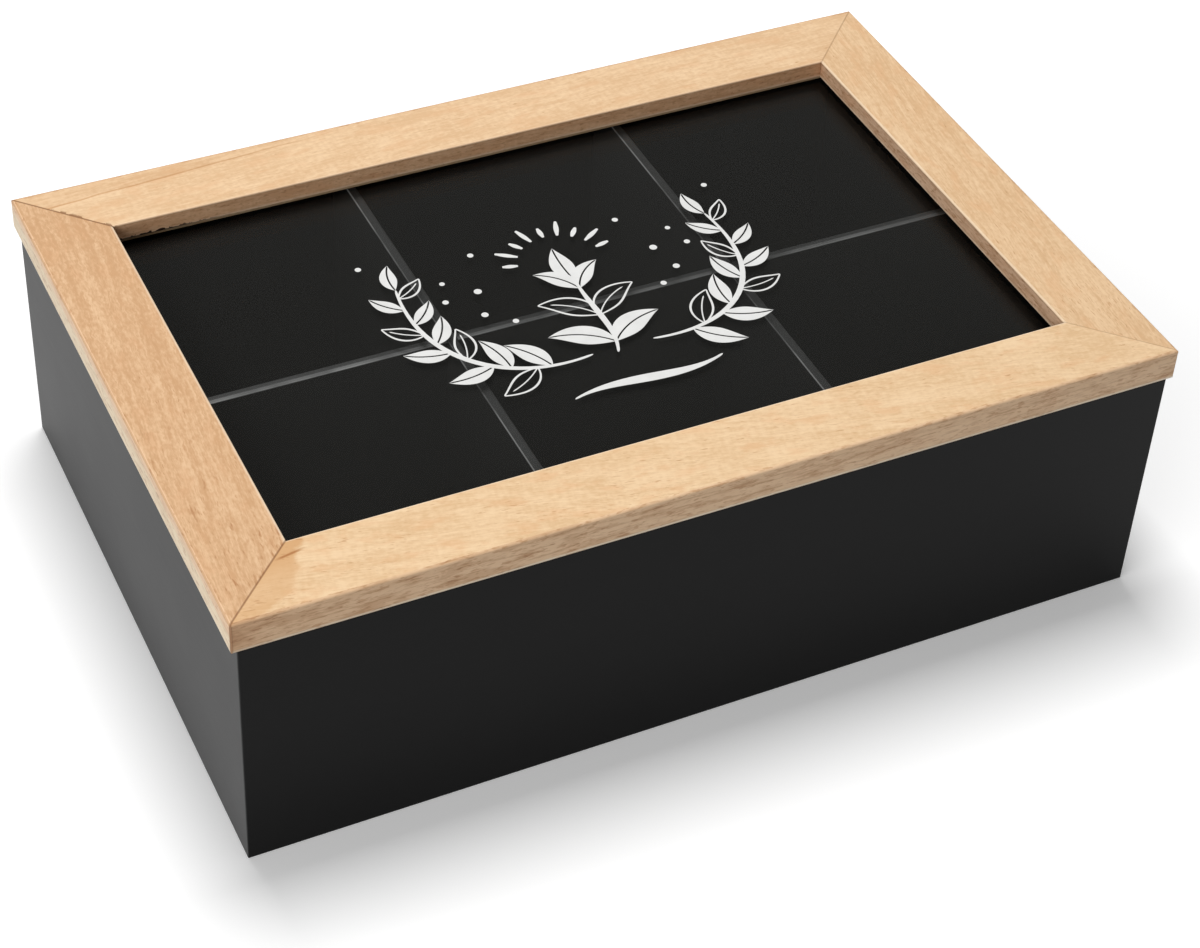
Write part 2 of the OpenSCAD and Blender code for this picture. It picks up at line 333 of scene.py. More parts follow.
# Faces, by how far in from the outer edge they begin and are whole, and how the grain wanders

OUTER_FACE = (0.75, 0.35)
INNER_FACE = (RAIL_W - 0.3, RAIL_W - 0.1)
DRIFT_SIZE = (60, 26, 26)
DRIFT = 7.0
CURL_SIZE = (1.4, 1.8, 4)

# Tone: the noise that it spans and the shares of its parts, then the sizes of the pores and flaws

TONE_FROM_TO = (0.38, 0.62)
FLECKS = 0.46
STREAKS_AND_RIPPLE = 0.54
FINE_PORE = (2.6, 0.32, 0.32)
BROAD_PORE = (4.0, 0.75, 0.75)
FLAW_SIZE = (6.0, 1.1, 1.1)

# Single marks. The growth line and the scratch each have a slope and the Y that they cross at X 0. The grime
# has its first and last place from the corner, and its share at each.

GROWTH_SLOPE = 0.070
GROWTH_Y = 80.6
GROWTH_FADE = (-70.0, -15.0)
SCRATCH_SLOPE = 0.18
SCRATCH_Y = -47.4
SCRATCH_X = -100.6
CHIPPED_FROM_TO = (-87.0, -62.0)
GRIME_NEAR = (0.3, 9.0, 0.35, 0.0)
GRIME_FAR = (9, 80, 0.25, 0.0)


@dataclass
class Plank:
    """How the wood of one lid rail looks. A pair is for the left or front end and for the other end.

    axis is the way it runs, and seed moves it to its own part of the noise. light, dark and warm colour its
    body. edge and edge_top colour its outer face, low and high, and carry painted light: paler as a painted
    highlight where the light falls, darker where it is shaded. arris darkens its rounded edges as painted
    shade, and inner tints the window's inner face as a painted warm shade. window_highlight is the share of a
    painted highlight along the window's top edge.
    lean is the angle of the grain in degrees, and curl is how far the grain curls in millimetres. The other
    numbers say how strongly each kind of mark shows.
    """

    name: str
    axis: str
    seed: float
    light: tuple
    dark: tuple
    warm: tuple
    edge: tuple
    edge_top: tuple
    edge_share: float
    inner: tuple
    arris: tuple
    arris_share: float
    window_highlight: float = 0.4
    lean: float = 4.0
    clouds: float = 0.22
    fibres: float = 0.30
    warmth: float = 0.45
    tone: tuple = (0.0, 0.0)
    pores: tuple = (0.2, 0.2)
    flaws: tuple = (0.0, 0.0)
    curl: tuple = (0.0, 0.0)
    ripple: float = 0.2
    streaks: tuple = (0.2, 0.2)
    mitres: tuple = (0.5, 0.5)
    chips: tuple = (0.0, 0.0)
    torn: tuple = (0.0, 0.0)
    growth_line: bool = False
    stained_end: bool = False
    chipped_foot: bool = False


# Each plank's edge, edge_top, arris and inner colours carry painted light, set for how the light falls on that
# face.
PLANKS = (
    Plank(
        "lid_rail_front", "X", 1.0, linear(249, 217, 176), linear(230, 192, 147), linear(236, 188, 141),
        edge=linear(244, 209, 173), edge_top=linear(240, 204, 167), edge_share=0.75,
        inner=(1.0, 1.0, 1.0, 1.0), arris=linear(232, 194, 154), arris_share=0.35, window_highlight=0.5,
        lean=-12.0, clouds=0.28, fibres=0.25, pores=(0.32, 0.24), flaws=(0.1, 0.4), curl=(0.0, 0.8),
        streaks=(0.95, 0.72), mitres=(0.8, 0.3), stained_end=True,
    ),
    Plank(
        "lid_rail_back", "X", 2.0, linear(248, 215, 175), linear(229, 190, 147), linear(233, 187, 142),
        edge=linear(214, 170, 130), edge_top=linear(214, 170, 130), edge_share=0.6,
        inner=(0.89, 0.77, 0.73, 1.0), arris=linear(206, 150, 106), arris_share=0.5, window_highlight=0.2,
        lean=3.0, fibres=0.25, tone=(-0.01, -0.03), pores=(0.12, 0.12), streaks=(0.4, 0.4),
        mitres=(0.85, 0.45), chips=(1.0, 0.0), growth_line=True, chipped_foot=True,
    ),
    Plank(
        "lid_stile_left", "Y", 3.0, linear(237, 198, 157), linear(212, 167, 124), linear(222, 172, 128),
        edge=linear(255, 235, 204), edge_top=linear(255, 219, 182), edge_share=0.95,
        inner=(1.0, 1.0, 1.0, 1.0), arris=linear(200, 158, 118), arris_share=0.75, window_highlight=0.45,
        lean=4.0, clouds=0.10, fibres=0.30, warmth=0.30, tone=(0.0, -0.04), pores=(0.24, 0.10),
        flaws=(0.95, 0.1), curl=(0.4, 1.5), ripple=0.05, streaks=(0.42, 0.38), mitres=(0.75, 0.85),
        torn=(0.8, 0.1),
    ),
    Plank(
        "lid_stile_right", "Y", 4.0, linear(243, 209, 168), linear(223, 183, 139), linear(231, 184, 138),
        edge=linear(220, 184, 148), edge_top=linear(220, 184, 148), edge_share=0.5,
        inner=(0.99, 0.96, 1.05, 1.0), arris=linear(232, 186, 140), arris_share=0.5,
        lean=6.0, clouds=0.16, fibres=0.32, tone=(0.0, -0.02), pores=(0.34, 0.16), flaws=(0.4, 0.0),
        curl=(0.4, 0.0), ripple=0.12, streaks=(0.3, 0.3), mitres=(0.35, 0.45),
    ),
)


class Timber:
    """The places and masks that the drawing of one plank works with."""

    def __init__(self, tree, plank):
        self.tree, self.plank = tree, plank
        self.place = tree.millimetres()
        self.x, self.y, self.z = tree.split(self.place)
        self.from_middle = tree.less(self.y, LID_Y)
        along, across = (self.x, self.from_middle) if plank.axis == "X" else (self.from_middle, self.x)
        half_length, half_width = (LID_HALF_L, LID_HALF_D) if plank.axis == "X" else (LID_HALF_D, LID_HALF_L)
        self.end = tree.span(along, -0.8 * half_length, 0.8 * half_length)
        self.reach = tree.less(half_width, tree.size(across))
        self.outer = tree.span(self.reach, *OUTER_FACE)
        self.inner = tree.span(self.reach, *INNER_FACE)
        from_end_x = tree.less(tree.size(self.x), LID_HALF_L)
        from_end_y = tree.less(tree.size(self.from_middle), LID_HALF_D)
        self.off_mitre = tree.times(tree.size(tree.less(from_end_x, from_end_y)), math.sqrt(0.5))
        lean = math.radians(plank.lean)
        u = tree.total((along, math.cos(lean)), (across, math.sin(lean)))
        v = tree.total((across, math.cos(lean)), (along, -math.sin(lean)))
        z = tree.total((self.z, 1.0), (along, 0.04))
        seed = [plank.seed * step for step in (137, 31, 11)]
        self.level = tree.vector("ADD", tree.combine(along, across, self.z), seed)
        self.straight = tree.vector("ADD", tree.combine(u, v, z), seed)
        drift = tree.total((tree.noise(self.straight, DRIFT_SIZE), DRIFT), (self.curls(), 1.0))
        self.grain = tree.vector("ADD", self.straight, tree.combine(0.0, drift, 0.0))

    def curls(self):
        """How far the curl of the grain moves it across the plank."""
        swirl = self.tree.noise(self.straight, CURL_SIZE, 1.0)
        return self.tree.times(swirl, self.between(self.plank.curl))

    def between(self, pair):
        """From the first value at one end of the plank to the second at the other."""
        return self.tree.total((self.end, pair[1] - pair[0]), (pair[0], 1.0))


def body_colour(timber):
    """Soft mottling, faint streaks and fine fibres, from dark to light, with warmer clouds."""
    tree, plank = timber.tree, timber.plank
    clouds = tree.noise(timber.grain, (20, 7, 7), 3.0, 0.6)
    streaks = tree.noise(timber.grain, (42, 1.6, 1.6), 2.0, 0.5)
    fibres = tree.noise(timber.grain, (5, 0.36, 0.36), 2.0, 0.65)
    flecks = tree.noise(timber.straight, (1.6, 0.9, 0.9), 2.0, 0.6)
    ripple = tree.noise(timber.straight, (1.0, 5.0, 5.0), 1.0)
    others = 1.0 - plank.clouds - plank.fibres
    tone = tree.total(
        (clouds, plank.clouds),
        (fibres, plank.fibres),
        (streaks, (STREAKS_AND_RIPPLE - plank.ripple) * others),
        (flecks, FLECKS * others),
        (ripple, plank.ripple * others),
    )
    tone = tree.add(tone, timber.between(plank.tone))
    colour = tree.mix(tree.span(tone, *TONE_FROM_TO), plank.dark, plank.light)
    warmth = tree.span(tree.noise(timber.grain, (9, 4, 4), 3.0, 0.6), 0.50, 0.70)
    return tree.mix(tree.times(warmth, plank.warmth), colour, plank.warm), fibres


def pores(timber):
    """Short dark dashes along the grain, in drifts, a few broader ones, and flaws some millimetres long."""
    tree = timber.tree
    drifts = tree.noise(timber.straight, (16, 7, 7), 2.0)
    share = tree.times(tree.span(drifts, 0.36, 0.62), timber.between(timber.plank.pores))
    fine = tree.noise(timber.grain, FINE_PORE, 1.0)
    broad = tree.noise(timber.grain, BROAD_PORE, 1.0)
    fine_edge = tree.less(0.74, tree.times(share, 0.34))
    broad_edge = tree.less(0.80, tree.times(share, 0.38))
    dashes = tree.most(
        tree.times(tree.span(fine, fine_edge, tree.add(fine_edge, 0.10)), 0.65),
        tree.times(tree.span(broad, broad_edge, tree.add(broad_edge, 0.16)), 0.9),
    )
    flaws = tree.span(tree.noise(timber.grain, FLAW_SIZE, 2.0, 0.6), 0.60, 0.72)
    towards_end = tree.math("POWER", timber.between(timber.plank.flaws), 3.0)
    return tree.most(dashes, tree.times(flaws, towards_end))


def mitre(timber):
    """The joint with the next plank: a dark line, with ragged chips along it towards the window."""
    tree, plank = timber.tree, timber.plank
    strength = timber.between(plank.mitres)
    ragged = tree.span(tree.noise(timber.place, (1.5, 1.5, 1.5), 2.0), 0.48, 0.56)
    inwards = tree.span(timber.reach, 3.0, 11.0)
    chipped = tree.times(tree.times(ragged, inwards), timber.between(plank.chips))
    width = tree.total((strength, 0.20), (chipped, 0.75))
    line = tree.span(timber.off_mitre, tree.times(width, 0.3), tree.add(width, 0.22), 1.0, 0.0)
    return tree.times(line, strength)


def torn_fibres(timber):
    """Short dark fibres torn out beside a mitre, most of them towards the window."""
    tree = timber.tree
    torn = tree.span(tree.noise(timber.level, (3.6, 0.8, 0.8), 2.0), 0.53, 0.68)
    beside_mitre = tree.span(timber.off_mitre, 0.6, 5.0, 1.0, 0.0)
    inwards = tree.span(timber.reach, 2.0, 14.0, 0.3, 1.0)
    share = tree.times(tree.times(torn, beside_mitre), inwards)
    return tree.times(share, timber.between(timber.plank.torn))


def growth_line(timber, colour):
    """A thin darker line that runs out of the back edge at a low angle, with warmer wood behind it."""
    tree = timber.tree
    wander = tree.times(tree.noise(timber.place, (14, 14, 14), 2.0), 1.6)
    line_y = tree.total((timber.x, GROWTH_SLOPE), (wander, 1.0), (GROWTH_Y, 1.0))
    past_line = tree.less(timber.y, line_y)
    fade = tree.span(timber.x, *GROWTH_FADE, 1.0, 0.0)
    line = tree.times(tree.span(tree.size(past_line), 0.05, 0.45, 1.0, 0.0), fade)
    behind = tree.times(tree.span(past_line, 0.0, 0.4), fade)
    colour = tree.tint(tree.times(behind, 0.20), colour, GROWTH_TINT)
    return tree.tint(tree.times(line, 0.8), colour, GROWTH_TINT)


def stained_end(timber, colour):
    """A darker patch against the front left mitre, narrow at the window and at the outer edge."""
    tree = timber.tree
    from_mitre = tree.less(tree.less(timber.x, timber.from_middle), LID_HALF_D - LID_HALF_L)
    outwards = tree.span(timber.reach, 20.0, 4.5)
    at_edge = tree.span(timber.reach, 4.5, 0.5)
    wander = tree.noise(timber.place, (3.5, 2.4, 3.5), 3.0, 0.6)
    limit = tree.total((outwards, 6.2), (at_edge, -3.2), (wander, 5.0), (2.0, 1.0))
    patch = tree.span(tree.less(from_mitre, limit), -1.6, 1.1, 1.0, 0.0)
    depth = tree.span(timber.reach, 7.0, 17.0, 0.55, 0.95)
    return tree.mix(tree.times(patch, depth), colour, STAIN)


def scratch(timber, colour):
    """A short scratch in the stained patch, by the window."""
    tree = timber.tree
    line_y = tree.total((timber.x, SCRATCH_SLOPE), (SCRATCH_Y, 1.0))
    line = tree.span(tree.size(tree.less(timber.y, line_y)), 0.10, 0.55, 1.0, 0.0)
    length = tree.span(tree.size(tree.less(timber.x, SCRATCH_X)), 1.8, 4.2, 1.0, 0.0)
    return tree.tint(tree.times(line, length), colour, PORE_TINT)


def outer_edge(timber, colour):
    """The sanded outer face of the plank, in two tones, with patches, streaks and ticks along it. Its colours
    carry painted light: paler or darker for how the light falls, with a painted highlight in the lower band.
    """
    tree, plank = timber.tree, timber.plank
    depth = tree.less(LID_HIGH.z, timber.z)
    wander = tree.noise(timber.level, (14, 5, 2.0), 3.0)
    lower = tree.span(tree.total((depth, 1.0), (wander, 4.0)), 3.4, 6.0)
    face = tree.mix(lower, plank.edge_top, plank.edge)
    colour = tree.mix(tree.times(timber.outer, plank.edge_share), colour, face)
    patches = tree.span(tree.noise(timber.level, (11, 5, 3.4), 3.0, 0.6), 0.48, 0.60)
    streaks = tree.span(tree.noise(timber.level, (9, 5, 0.9), 3.0, 0.65), 0.50, 0.62)
    ticks = tree.span(tree.noise(timber.level, (2.6, 5, 0.45), 1.0), 0.60, 0.70)
    marks = tree.total((patches, 0.46), (streaks, 0.60), (ticks, 0.60))
    share = tree.times(tree.times(marks, timber.outer), timber.between(plank.streaks))
    return tree.tint(share, colour, STREAK_AND_SHADE_TINT)


def outer_foot(timber, colour):
    """The foot of the outer face: a painted highlight along its lower edge, and a painted shade line right at
    the edge, where the lid meets the box.
    """
    tree = timber.tree
    above_foot = tree.less(timber.z, LID_LOW.z)
    near_face = tree.span(timber.reach, 0.9, 0.6)
    lower_highlight = tree.times(tree.span(above_foot, 0.75, 1.05, 1.0, 0.0), near_face)
    colour = tree.mix(tree.times(lower_highlight, 0.8), colour, PAINTED_HIGHLIGHT)
    gap_shade = tree.times(tree.span(above_foot, 0.12, 0.28, 1.0, 0.0), near_face)
    return tree.mix(tree.times(gap_shade, 0.8), colour, JOINT_DARK_AND_GAP_SHADE)


def corner_shade(timber, colour):
    """Grime in the wood at the front left corner, on the face that looks forward, and its dark joint."""
    tree = timber.tree
    from_corner = tree.add(timber.x, LID_HALF_L)
    near = tree.span(from_corner, *GRIME_NEAR)
    far = tree.span(from_corner, *GRIME_FAR)
    grime = tree.total((near, 1.0), (far, 1.0))
    colour = tree.tint(tree.times(grime, timber.outer), colour, STREAK_AND_SHADE_TINT)
    joint = tree.times(tree.span(from_corner, 0.30, 0.75, 1.0, 0.0), timber.outer)
    return tree.mix(tree.times(joint, 0.75), colour, JOINT_DARK_AND_GAP_SHADE)


def top_edges(timber, colour):
    """The rounded edges: darkened as painted shade, with dashes along the outer one, and a painted highlight
    along the window.
    """
    tree, plank = timber.tree, timber.plank
    # Painted shade: the rounded edges are darkened against the light that they catch.
    arris = tree.arris()
    colour = tree.mix(tree.times(arris, plank.arris_share), colour, plank.arris)
    dashes = tree.span(tree.noise(timber.level, (2.6, 0.7, 0.7), 2.0), 0.57, 0.67)
    near = tree.span(timber.reach, 1.3, 0.6)
    colour = tree.tint(tree.times(tree.times(dashes, near), 0.55), colour, PORE_TINT)
    by_window = tree.span(timber.reach, RAIL_W - 0.75, RAIL_W - 0.35)
    above = tree.span(timber.z, LID_HIGH.z - 0.5, LID_HIGH.z - 0.25)
    return tree.mix(tree.times(tree.times(by_window, above), plank.window_highlight), colour, PAINTED_HIGHLIGHT)


def window_face(timber, colour):
    """The inner face round the window: tinted as a painted warm shade, coarser, with painted shade under its
    top edge and a painted highlight along its foot.
    """
    tree, plank = timber.tree, timber.plank
    below = tree.times(timber.inner, tree.span(timber.z, LID_HIGH.z - 0.5, LID_HIGH.z - 0.3, 1.0, 0.0))
    colour = tree.tint(below, colour, plank.inner)
    streaks = tree.span(tree.noise(timber.level, (6, 6, 0.9), 3.0, 0.7), 0.46, 0.60)
    specks = tree.span(tree.noise(timber.place, (1.6, 1.6, 0.7), 2.0), 0.56, 0.66)
    marks = tree.total((streaks, 0.45), (specks, 0.60))
    colour = tree.tint(tree.times(marks, below), colour, STREAK_AND_SHADE_TINT)
    shade_under_arris = tree.span(timber.z, LID_HIGH.z - 1.0, LID_HIGH.z - 0.45)
    colour = tree.tint(tree.times(tree.times(shade_under_arris, below), 0.35), colour, STREAK_AND_SHADE_TINT)
    foot_highlight = tree.span(timber.z, GROOVE_TOP + 0.2, GROOVE_TOP + 0.8, 1.0, 0.0)
    return tree.mix(tree.times(tree.times(foot_highlight, below), 0.35), colour, PAINTED_HIGHLIGHT)


def chipped_foot(timber, colour):
    """Dark chips along the foot of the inner face, at the left end."""
    tree = timber.tree
    chips = tree.span(tree.noise(timber.place, (1.3, 1.3, 1.3), 2.0), 0.42, 0.64, 0.08, 0.65)
    at_left = tree.span(timber.x, *CHIPPED_FROM_TO, 1.0, 0.0)
    height = tree.times(chips, at_left)
    ragged = tree.span(tree.less(timber.z, height), GROOVE_TOP, GROOVE_TOP + 0.2, 1.0, 0.0)
    by_foot = tree.times(tree.span(timber.reach, RAIL_W - 1.2, RAIL_W - 0.8), at_left)
    return tree.mix(tree.times(ragged, by_foot), colour, SPLINTER_DARK)


def wood(plank):
    """Pale wood under a matt lacquer."""
    material, tree, shader = principled("wood_" + plank.name)
    timber = Timber(tree, plank)
    colour, fibres = body_colour(timber)
    if plank.growth_line:
        colour = growth_line(timber, colour)
    if plank.stained_end:
        colour = scratch(timber, stained_end(timber, colour))
    dashes = tree.most(pores(timber), torn_fibres(timber))
    colour = tree.tint(dashes, colour, PORE_TINT)
    colour = outer_foot(timber, outer_edge(timber, colour))
    if plank.stained_end:
        colour = corner_shade(timber, colour)
    colour = top_edges(timber, colour)
    colour = window_face(timber, colour)
    if plank.chipped_foot:
        colour = chipped_foot(timber, colour)
    joint = mitre(timber)
    colour = tree.mix(tree.times(joint, 0.9), colour, JOINT_DARK_AND_GAP_SHADE)
    tree.put(shader.inputs["Base Color"], colour)
    tree.put(shader.inputs["Roughness"], tree.total((fibres, 0.14), (dashes, 0.15), (0.48, 1.0)))
    height = tree.total((fibres, 0.35), (dashes, -0.8), (joint, -1.0))
    tree.put(shader.inputs["Normal"], tree.bump(height, 0.35, 0.05))
    shader.inputs["IOR"].default_value = WOOD_IOR
    return material


# Paint. A grey is from 0 to 1, and sizes and places are in millimetres.

# Painted light on the dividers: the grey of a painted highlight, varied by wear, on the lit arris and the
# front strip of their tops, and the painted shade that darkens their tops towards the right.
WEAR_AND_HIGHLIGHT_GREY = 0.42
RUBBED_WALL = 0.05
STRIP_HIGHLIGHT = 0.45
TOP_PAINTED_SHADE = 0.5
PAINT_IOR = 1.5
SIDE_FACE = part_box("right_panel")[1][0] / MM
DIVIDER_SHADE_FROM_TO = (-105.0, -10.0)


@dataclass
class Paint:
    """How one coat of black paint looks.

    axis is the way it was brushed, and base is its grey. outside is the grey of an outer face, greyed as a
    painted sheen of the room that it mirrors, at its foot and at its rim. top_edge is the grey of the top of a
    divider. lit is the way that the arris with its painted highlight faces, along X and Y. lit_strip is how
    far that painted highlight reaches from the front onto the top.
    """

    name: str
    axis: str
    base: float
    gloss: float
    roughness: float
    nodes: tuple
    outside: tuple = ()
    top_edge: float = 0.0
    lit: tuple = (0, 0)
    lit_strip: float = 0.0


# The side panels' paint has more gloss and a greyer outside than the front and back panels': a painted sheen
# for the brighter room that the sides mirror.
PAINTS = (
    Paint("paint_long", "X", 0.007, 0.083, 0.42, ("front_panel", "back_panel")),
    Paint("paint_side", "Y", 0.007, 0.185, 0.50, ("left_panel", "right_panel"), outside=(0.056, 0.026)),
    Paint("paint_bottom", "X", 0.006, 0.12, 0.6, ("bottom_panel",)),
    Paint(
        "paint_long_divider", "X", 0.012, 0.2, 0.55, ("long_divider",),
        top_edge=0.062, lit=(0, -1), lit_strip=1.1,
    ),
    Paint(
        "paint_cross_dividers", "Y", 0.012, 0.2, 0.55, ("cross_divider_left", "cross_divider_right"),
        top_edge=0.062, lit=(-1, 0),
    ),
)


def sheen_greyed_outside(tree, paint, place, colour):
    """The outer face of a side wall is greyer, most of all at its foot: a painted sheen for the bright room
    that it mirrors.
    """
    x, _, z = tree.split(place)
    at_foot, at_rim = paint.outside
    greyer = tree.mix(tree.span(z, -5.0, 75.0), grey(at_foot), grey(at_rim))
    return tree.mix(tree.span(tree.size(x), SIDE_FACE - 1.5, SIDE_FACE - 0.5), colour, greyer)


def divider_top(tree, paint, place, colour):
    """The bare top edge of a divider, scuffed, darker towards the right as painted shade, with a painted
    highlight, varied by wear, on the arris on the side that the light comes from.
    """
    x, y, _ = tree.split(place)
    top = tree.span(tree.facing()["Z"], 0.9, 0.98)
    scuffs = tree.noise(place, (9, 9, 9), 3.0)
    shade_to_right = tree.span(x, *DIVIDER_SHADE_FROM_TO)
    sawn = tree.mix(scuffs, grey(0.7 * paint.top_edge), grey(1.3 * paint.top_edge))
    # Painted shade: the top darkens towards the right.
    colour = tree.mix(top, colour, tree.tint(shade_to_right, sawn, grey(TOP_PAINTED_SHADE)))
    facing_x, facing_y, _ = tree.split(tree.normal())
    lit = tree.span(tree.total((facing_x, paint.lit[0]), (facing_y, paint.lit[1])), 0.15, 0.45)
    along = tree.noise(place, (14, 14, 14), 2.0)
    wear_and_shade = tree.times(tree.span(along, 0.30, 0.65, 0.3, 1.0), tree.span(shade_to_right, 0.0, 1.0, 1.0, 0.5))
    # worn is a painted highlight on the arris on the lit side, varied by wear; the strip widens it onto the
    # top.
    worn = tree.times(tree.times(tree.arris(), lit), wear_and_shade)
    if paint.lit_strip:
        from_front = tree.less(y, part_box(paint.nodes[0])[0][1] / MM)
        strip = tree.span(from_front, paint.lit_strip - 0.3, paint.lit_strip + 0.1, 1.0, 0.0)
        worn = tree.most(worn, tree.times(tree.times(tree.times(strip, top), wear_and_shade), STRIP_HIGHLIGHT))
    return tree.mix(worn, colour, grey(WEAR_AND_HIGHLIGHT_GREY))


def rubbed_arrises(tree, place, colour):
    worn = tree.times(tree.arris(), tree.noise(place, (3, 3, 3)))
    return tree.mix(tree.times(worn, 0.6), colour, grey(RUBBED_WALL))


def black_paint(paint):
    """Satin black paint, brushed along one axis and rubbed thin on the arrises."""
    material, tree, shader = principled(paint.name)
    place = tree.millimetres()
    peel = tree.noise(place, (0.8, 0.8, 0.8))
    clouds = tree.noise(place, (26, 26, 26))
    brushed = tree.noise(place, [22 if axis == paint.axis else 0.7 for axis in "XYZ"])
    colour = tree.mix(clouds, grey(0.8 * paint.base), grey(1.2 * paint.base))
    if paint.outside:
        colour = sheen_greyed_outside(tree, paint, place, colour)
    if paint.top_edge:
        colour = divider_top(tree, paint, place, colour)
    else:
        colour = rubbed_arrises(tree, place, colour)
    tree.put(shader.inputs["Base Color"], colour)
    spread = tree.total((clouds, 0.06), (brushed, 0.04), (paint.roughness - 0.05, 1.0))
    tree.put(shader.inputs["Roughness"], spread)
    height = tree.total((peel, 0.6), (brushed, 0.4))
    tree.put(shader.inputs["Normal"], tree.bump(height, 0.06, 0.03))
    shader.inputs["Specular IOR Level"].default_value = paint.gloss
    shader.inputs["IOR"].default_value = PAINT_IOR
    return material


# Glass, steel and ink

GLASS_IOR = 1.14
GLASS_TINT = (0.97, 0.985, 0.975, 1.0)
GLASS_SHADOW = 0.9
# A sheen on the glass that stands in for part of its reflection of the room, and where it is left off by the
# rails as painted shade.
REFLECTION_SHEEN = 0.019
REFLECTION_SHEEN_EDGE = (0.5, 6.0)
REFLECTION_SHEEN_TINT = (1.0, 0.99, 0.92, 1.0)
LEAF_STEEL = (linear(178, 178, 176), linear(208, 208, 205))
SCREW_STEEL = (linear(112, 112, 111), linear(146, 146, 144))


def glass_material():
    """Clear glass that lets the lamps through. A faint sheen, lit by the lamps, stands in for part of its
    reflection of the room, and is left off by the back and right rails as painted shade, where the glass
    mirrors the wood.
    """
    material, tree, shader = principled("window_glass")
    shader.inputs["Transmission Weight"].default_value = 1.0
    shader.inputs["Roughness"].default_value = 0.0
    shader.inputs["IOR"].default_value = GLASS_IOR
    shader.inputs["Base Color"].default_value = GLASS_TINT
    x, y, _ = tree.split(tree.millimetres())
    from_back = tree.span(tree.less(LID_HIGH.y - RAIL_W, y), *REFLECTION_SHEEN_EDGE)
    from_right = tree.span(tree.less(LID_HIGH.x - RAIL_W, x), *REFLECTION_SHEEN_EDGE)
    tree.put(shader.inputs["Sheen Weight"], tree.times(tree.times(from_back, from_right), REFLECTION_SHEEN))
    shader.inputs["Sheen Roughness"].default_value = 1.0
    shader.inputs["Sheen Tint"].default_value = REFLECTION_SHEEN_TINT
    clear = tree.node("ShaderNodeBsdfTransparent", {"Color": grey(GLASS_SHADOW)})
    path = tree.node("ShaderNodeLightPath").outputs
    either = tree.node("ShaderNodeMixShader", {"Fac": path["Is Shadow Ray"]})
    tree.links.new(shader.outputs[0], either.inputs[1])
    tree.links.new(clear.outputs[0], either.inputs[2])
    tree.links.new(either.outputs[0], tree.nodes["Material Output"].inputs["Surface"])
    return material


def steel_material(name, dark, light):
    """Zinc plated steel with a fine brushed grain along the pin, between two shades."""
    material, tree, shader = principled(name)
    place = tree.millimetres()
    brushed = tree.noise(place, (6, 0.12, 0.12))
    stains = tree.noise(place, (3, 3, 3), 3.0)
    tree.put(shader.inputs["Base Color"], tree.mix(stains, dark, light))
    tree.put(shader.inputs["Roughness"], tree.total((brushed, 0.2), (0.24, 1.0)))
    tree.put(shader.inputs["Normal"], tree.bump(brushed, 0.2, 0.02))
    shader.inputs["Metallic"].default_value = 1.0
    return material


def ink_material():
    """White screen print, a little uneven."""
    material, tree, shader = principled("print_ink")
    place = tree.millimetres()
    patches = tree.noise(place, (5, 5, 5), 3.0, 0.6)
    mesh_marks = tree.noise(place, (0.3, 0.3, 0.3), 1.0)
    tree.put(shader.inputs["Base Color"], tree.mix(patches, linear(222, 222, 220), linear(246, 246, 244)))
    tree.put(shader.inputs["Roughness"], tree.total((mesh_marks, 0.1), (0.5, 1.0)))
    tree.put(shader.inputs["Normal"], tree.bump(mesh_marks, 0.1, 0.01))
    return material


def dress(material, *names):
    for name in names:
        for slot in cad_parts[name].material_slots:
            slot.material = material


def dress_all():
    for plank in PLANKS:
        dress(wood(plank), plank.name)
    for paint in PAINTS:
        dress(black_paint(paint), *paint.nodes)
    dress(glass_material(), "window_glass")
    dress(
        steel_material("steel", *LEAF_STEEL),
        "corner_v_nails",
        "hinge_left_box_leaf", "hinge_left_lid_leaf", "hinge_left_pin",
        "hinge_right_box_leaf", "hinge_right_lid_leaf", "hinge_right_pin",
    )
    dress(steel_material("screw_steel", *SCREW_STEEL), "box_hinge_screws", "lid_hinge_screws")


# The print on the glass, a generic design of leaf sprays. Places are in millimetres from its middle.

PRINT_MIDDLE = Vector((0.0, -2.5))
PRINT_LIFT = 0.005
INK_THICKNESS = 0.03
INK_STEP = 0.0004
LINE = 0.28
MIDRIB = 0.22
LEAF_SLIMNESS = 0.21

# A spray. Its leaves run from a share of the stem's length onwards, and get shorter towards its tip.

SPRAY_LEAVES = 11
SPRAY_FROM = 0.16
SPRAY_RUN = 0.79
SPRAY_TURN = 46
SPRAY_LEAF = 14.6
SPRAY_TAPER = 5.6
SPRAY_TIP = 10.0

# The sprig. Each pair of leaves has its point on the stem, its angle, its length, and whether it is filled.

SPRIG_PAIRS = ((9, 64, 16.5, True), (19, 56, 15.5, False), (29, 44, 12.5, True))
SPRIG_BUD = 14.0
RAYS = 9
RAY_FROM = 14
RAY_STEP = 19
RAY_REACH = (15.0, 17.0)

# The dots by the right spray, each with its X, Y and radius. The left spray's are mirrored.

BERRIES = (
    (20, -2, 0.8), (26, 3, 0.9), (24, 12, 1.0), (31, 18, 0.7), (33, 11, 0.8), (48, 31, 0.8), (20, 26, 0.8),
)


def bezier(a, b, c, d, steps=28):
    """Points on a cubic curve from a to d, drawn towards b and c. They lie closer together at its ends."""
    a, b, c, d = (Vector(point) for point in (a, b, c, d))
    points = []
    for step in range(steps + 1):
        t = (1 - math.cos(math.pi * step / steps)) / 2
        s = 1 - t
        points.append(a * s**3 + b * 3 * s * s * t + c * 3 * s * t * t + d * t**3)
    return points


def shares(line):
    """How far along the line each of its points is, from 0 to 1."""
    lengths = [0.0]
    for before, after in zip(line, line[1:]):
        lengths.append(lengths[-1] + (after - before).length)
    return [length / lengths[-1] for length in lengths]


